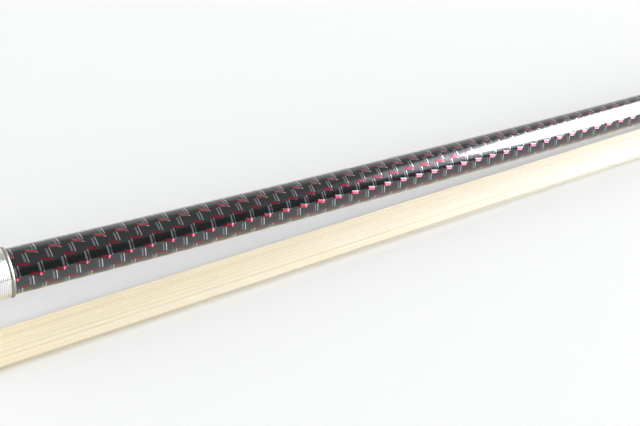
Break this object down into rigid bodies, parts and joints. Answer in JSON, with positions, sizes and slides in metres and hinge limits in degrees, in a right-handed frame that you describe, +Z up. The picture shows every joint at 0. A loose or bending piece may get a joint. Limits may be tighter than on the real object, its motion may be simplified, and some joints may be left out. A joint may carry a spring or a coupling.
{
  "type": "violin bow",
  "caption": "Full-size violin bow with a round woven-carbon stick, silver winding, flat cream hair, a sliding frog and a screw button that tightens the hair.",
  "frame": {"origin": "bottom centre of the bounding box, on the surface that the bow stands on hair down", "axes": "+X along the hair from the frog to the head, +Z up from the hair to the stick, Y across the hair"},
  "size_m": [0.7449, 0.013, 0.0303],
  "materials": {
    "bone": "satin bone white",
    "brass": "plain brass",
    "carbon_weave": "glossy clear-coated plain weave with red tracer threads",
    "dull_silver": "dull grey",
    "ebony": "polished black ebony",
    "horsehair": "natural cream, fine lengthwise strands",
    "leather": "black smooth leather",
    "maple": "bare maple",
    "pearl": "mother of pearl",
    "silver": "polished silver",
    "steel": "bright steel",
    "thread": "waxed thread"
  },
  "bodies": {
    "bow": {"stick": "carbon_weave", "butt_bushing": "brass", "thumb_leather": "leather", "winding": "silver", "winding_end_ring": "dull_silver", "tip_liner": "ebony", "tip_plate": "bone", "tip_plug": "maple", "tip_hair_knot": "thread", "hair_ribbon": "horsehair"},
    "frog": {"eye_left": "pearl", "eye_right": "pearl", "eye_ring_left": "silver", "eye_ring_right": "silver", "eyelet": "brass", "ferrule": "silver", "frog_body": "ebony", "frog_hair_knot": "thread", "frog_plug": "maple", "heel_pin_back": "silver", "heel_pin_left": "silver", "heel_pin_right": "silver", "heel_plate_back": "silver", "heel_plate_bottom": "silver", "pearl_slide": "pearl", "slide_backing": "ebony", "spread_wedge": "maple", "underslide": "silver", "underslide_pin_front": "silver", "underslide_pin_rear": "silver"},
    "tension_screw": {"screw": "steel", "button_cap": "silver", "button_core": "ebony", "button_collar": "silver", "button_eye": "pearl"}
  },
  "joints": [
    {"name": "screw_turn", "type": "hinge", "parent": "bow", "child": "tension_screw", "pos_m": [-0.37225, 0, 0.0261], "axis": [0.9984, 0, -0.0569], "range_deg": [-2161, 541]},
    {"name": "frog_slide", "type": "slide", "parent": "bow", "child": "frog", "axis": [-0.9984, 0, 0.0569], "range_m": [-0.0042, 0.00105], "deforming": ["hair_ribbon"]}
  ],
  "couplings": [
    {"joint": "screw_turn", "follows": "frog_slide", "rad_per_m": 8976}
  ]
}
